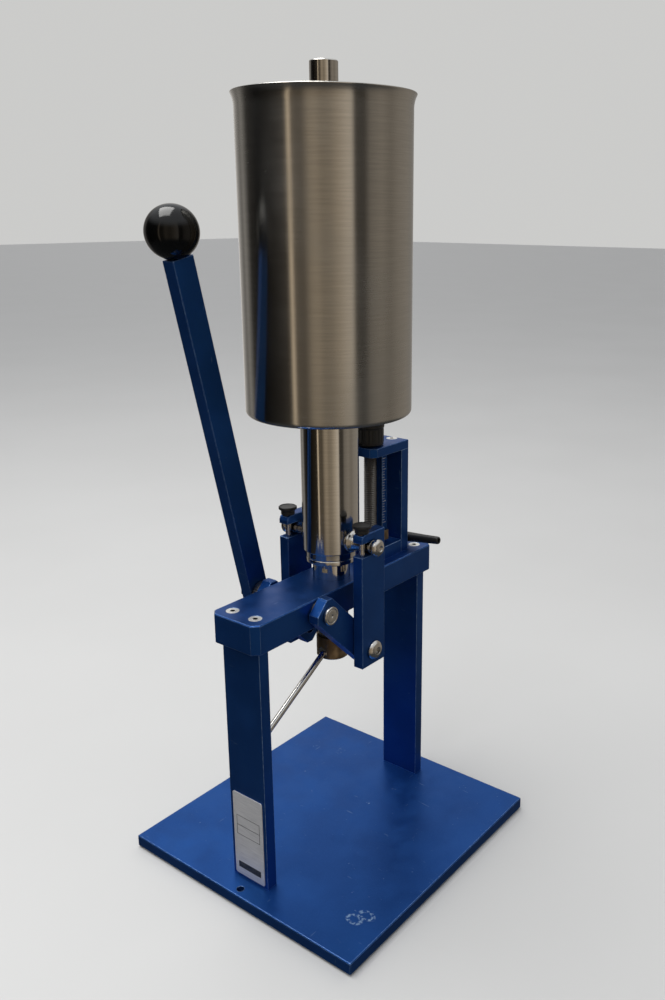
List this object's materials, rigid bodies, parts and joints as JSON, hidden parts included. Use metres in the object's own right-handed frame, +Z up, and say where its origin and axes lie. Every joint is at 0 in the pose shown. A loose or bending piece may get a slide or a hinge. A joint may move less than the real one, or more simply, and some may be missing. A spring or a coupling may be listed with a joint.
{
  "type": "piston liquid filler",
  "caption": "Lever-operated benchtop piston filler: a steel hopper and dosing cylinder lifted over a fixed piston on a blue frame with base plate.",
  "frame": {"origin": "centre of the underside of the rubber mat, on the bench", "axes": "+Z up, +X along the cross-beam towards the volume adjuster, +Y towards the hand lever"},
  "size_m": [0.263, 0.25, 0.666],
  "materials": {
    "blue_anodised": "satin blue",
    "hopper_steel": "fine horizontal brushing",
    "polished_steel": "turned and polished",
    "bronze": "dull turned bronze",
    "black_gloss": "glossy phenolic",
    "black_plastic": "satin black",
    "plate_silver": "blank satin plate",
    "rubber": "black rubber",
    "seal": "pale seal ring"
  },
  "bodies": {
    "frame": {"rubber_mat": "rubber", "base_plate": "blue_anodised", "base_screws": "polished_steel", "front_upright": "blue_anodised", "rear_upright": "blue_anodised", "cross_beam": "blue_anodised", "beam_screws": "polished_steel", "name_plate": "plate_silver", "near_pivot_bush": "bronze", "far_pivot_bush": "bronze", "piston_stem": "polished_steel", "piston_head": "polished_steel", "piston_seals": "seal", "check_spring": "polished_steel", "stem_nut": "polished_steel", "nozzle_body": "polished_steel", "nozzle_seal": "rubber", "outlet_spout": "bronze", "adjuster_foot": "blue_anodised", "foot_screws": "polished_steel", "adjuster_post": "blue_anodised", "adjuster_plate": "blue_anodised", "plate_screw": "polished_steel", "guide_bar": "blue_anodised"},
    "lever": {"pivot_shaft": "polished_steel", "near_crank": "blue_anodised", "far_crank": "blue_anodised", "near_crank_screw": "polished_steel", "lever_spacer": "polished_steel", "lever_bar": "blue_anodised", "lever_screw": "polished_steel", "ball_stud": "polished_steel", "ball_knob": "black_gloss"},
    "cylinder": {"cylinder_tube": "polished_steel", "near_trunnion": "polished_steel", "far_trunnion": "polished_steel", "hopper_shell": "hopper_steel", "hopper_flange": "polished_steel", "valve_guide": "polished_steel", "valve_spring": "polished_steel"},
    "inlet_valve": {"valve_rod": "polished_steel", "rod_collar": "polished_steel"},
    "outlet_check": {"check_ball": "polished_steel"},
    "near_link": {"near_link": "blue_anodised", "near_link_bolt": "polished_steel", "near_lock_bush": "polished_steel"},
    "far_link": {"far_link": "blue_anodised", "far_link_bolt": "polished_steel", "far_lock_bush": "polished_steel"},
    "near_lock": {"near_lock_pin": "polished_steel", "near_lock_knob": "black_plastic"},
    "far_lock": {"far_lock_pin": "polished_steel", "far_lock_knob": "black_plastic"},
    "outlet_tap": {"outlet_plug": "polished_steel", "outlet_handle": "polished_steel"},
    "adjuster_knob": {"adjuster_knob": "black_plastic"},
    "adjuster_spindle": {"adjuster_spindle": "polished_steel", "guide_shoe": "blue_anodised"},
    "clamp": {"clamp_screw": "polished_steel", "clamp_handle": "black_plastic"}
  },
  "joints": [
    {"name": "lever_swing", "type": "hinge", "parent": "frame", "child": "lever", "pos_m": [-0.045, 0, 0.2425], "axis": [0, -1, 0], "range_deg": [0, 80]},
    {"name": "cylinder_lift", "type": "slide", "parent": "frame", "child": "cylinder", "axis": [0, 0, 1], "range_m": [0, 0.08125]},
    {"name": "near_link_swing", "type": "hinge", "parent": "cylinder", "child": "near_link", "pos_m": [0, -0.0413, 0.2905], "axis": [0, -1, 0], "range_deg": [0, 4.45]},
    {"name": "far_link_swing", "type": "hinge", "parent": "cylinder", "child": "far_link", "pos_m": [0, 0.0413, 0.2905], "axis": [0, -1, 0], "range_deg": [0, 4.45]},
    {"name": "near_lock_pull", "type": "slide", "parent": "near_link", "child": "near_lock", "axis": [0, 0, 1], "range_m": [0, 0.017]},
    {"name": "far_lock_pull", "type": "slide", "parent": "far_link", "child": "far_lock", "axis": [0, 0, 1], "range_m": [0, 0.017]},
    {"name": "inlet_valve_push", "type": "slide", "parent": "cylinder", "child": "inlet_valve", "axis": [0, 0, -1], "range_m": [0, 0.006], "stiffness_N_per_m": 600, "springref_m": -0.02, "deforming": ["valve_spring"]},
    {"name": "outlet_check_drop", "type": "slide", "parent": "frame", "child": "outlet_check", "axis": [0, 0, -1], "range_m": [0, 0.003], "stiffness_N_per_m": 60, "springref_m": -0.008, "deforming": ["check_spring"]},
    {"name": "outlet_tap_turn", "type": "hinge", "parent": "frame", "child": "outlet_tap", "pos_m": [0, 0, 0.1858], "axis": [1, 0, 0], "range_deg": [0, 90]},
    {"name": "adjuster_knob_turn", "type": "hinge", "parent": "frame", "child": "adjuster_knob", "pos_m": [0.0545, 0, 0.37], "axis": [0, 0, 1], "range_deg": [0, 4114.4]},
    {"name": "adjuster_spindle_rise", "type": "slide", "parent": "frame", "child": "adjuster_spindle", "axis": [0, 0, 1], "range_m": [0, 0.02]},
    {"name": "clamp_turn", "type": "hinge", "parent": "frame", "child": "clamp", "pos_m": [0.095, 0, 0.262], "axis": [1, 0, 0], "range_deg": [-120, 0]}
  ],
  "couplings": [
    {"joint": "cylinder_lift", "follows": "lever_swing", "m_per_rad": 0.058176},
    {"joint": "near_link_swing", "follows": "lever_swing", "ratio": 0.05497},
    {"joint": "far_link_swing", "follows": "lever_swing", "ratio": 0.05497},
    {"joint": "adjuster_knob_turn", "follows": "adjuster_spindle_rise", "rad_per_m": 3590.4}
  ]
}
